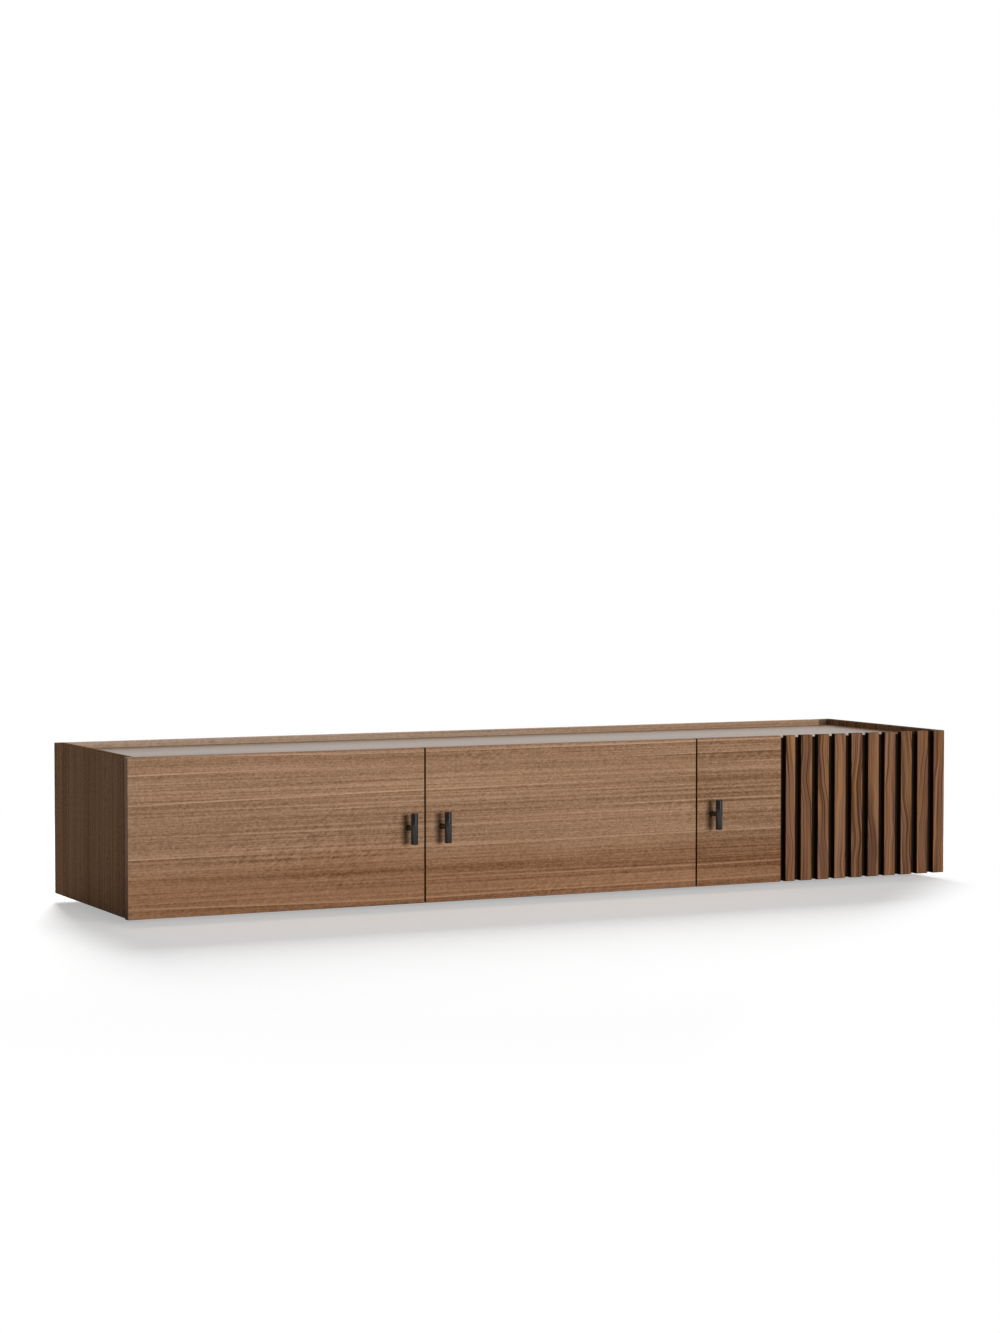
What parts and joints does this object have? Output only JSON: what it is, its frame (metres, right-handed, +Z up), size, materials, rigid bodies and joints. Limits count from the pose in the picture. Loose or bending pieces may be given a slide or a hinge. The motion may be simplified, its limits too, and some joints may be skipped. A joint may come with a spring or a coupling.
{
  "type": "floating media console",
  "caption": "Wall-hung low media console in walnut veneer with hinged doors, one of them part slatted, a raised gallery round the top and dark bar handles.",
  "frame": {"origin": "middle of the row of screw holes in the wall cleat, in the wall plane", "axes": "+X to the right along the front, +Y into the wall, +Z up; the doors face -Y"},
  "size_m": [1.8, 0.486, 0.3],
  "materials": {
    "walnut_carcass": "walnut veneer under satin lacquer",
    "walnut_doors": "horizontal walnut veneer, satin lacquer",
    "walnut_slats": "solid walnut, upright grain, satin lacquer",
    "black_backing": "black stained board, matt",
    "back_board": "dark foil faced board, matt",
    "beech": "planed beech, unfinished",
    "gunmetal": "satin black",
    "zinc": "zinc plated",
    "nickel": "nickel plated",
    "black_plastic": "fine matt",
    "silicone": "soft, translucent"
  },
  "bodies": {
    "carcass": {"back_panel": "back_board", "back_panel_screws": "zinc", "bottom_panel": "walnut_carcass", "cable_grommets": "black_plastic", "cam_bolts": "zinc", "cam_locks": "zinc", "carcass_dowels": "beech", "centre_hinge_arms": "nickel", "centre_shelf": "walnut_carcass", "divider_screws": "zinc", "door_bumpers": "silicone", "hanging_cleat": "beech", "hinge_arm_screws": "zinc", "hinge_plate_screws": "zinc", "hinge_plates": "nickel", "left_divider": "walnut_carcass", "left_hinge_arms": "nickel", "left_shelf": "walnut_carcass", "left_side_panel": "walnut_carcass", "rear_rim": "walnut_carcass", "right_divider": "walnut_carcass", "right_hinge_arms": "nickel", "right_shelf": "walnut_carcass", "right_side_panel": "walnut_carcass", "shelf_pins": "zinc", "top_panel": "walnut_carcass", "wall_cleat": "beech"},
    "left_door_leaf": {"left_door": "walnut_doors", "left_hinge_cups": "nickel", "left_hinge_pins": "nickel", "left_cup_screws": "zinc", "left_handle_bar": "gunmetal", "left_handle_post": "gunmetal", "left_handle_screw": "zinc"},
    "centre_door_leaf": {"centre_door": "walnut_doors", "centre_hinge_cups": "nickel", "centre_hinge_pins": "nickel", "centre_cup_screws": "zinc", "centre_handle_bar": "gunmetal", "centre_handle_post": "gunmetal", "centre_handle_screw": "zinc"},
    "right_door_leaf": {"right_door_panel": "walnut_doors", "right_door_backing": "black_backing", "right_backing_screws": "zinc", "slat_01": "walnut_slats", "slat_02": "walnut_slats", "slat_03": "walnut_slats", "slat_04": "walnut_slats", "slat_05": "walnut_slats", "slat_06": "walnut_slats", "slat_07": "walnut_slats", "slat_08": "walnut_slats", "slat_09": "walnut_slats", "slat_10": "walnut_slats", "right_hinge_cups": "nickel", "right_hinge_pins": "nickel", "right_cup_screws": "zinc", "right_handle_bar": "gunmetal", "right_handle_post": "gunmetal", "right_handle_screw": "zinc"}
  },
  "joints": [
    {"name": "left_door_hinge", "type": "hinge", "parent": "carcass", "child": "left_door_leaf", "pos_m": [-0.892, -0.443, -0.065], "axis": [0, 0, -1], "range_deg": [0, 95]},
    {"name": "centre_door_hinge", "type": "hinge", "parent": "carcass", "child": "centre_door_leaf", "pos_m": [0.291, -0.443, -0.065], "axis": [0, 0, 1], "range_deg": [0, 95]},
    {"name": "right_door_hinge", "type": "hinge", "parent": "carcass", "child": "right_door_leaf", "pos_m": [0.892, -0.443, -0.065], "axis": [0, 0, 1], "range_deg": [0, 95]}
  ]
}
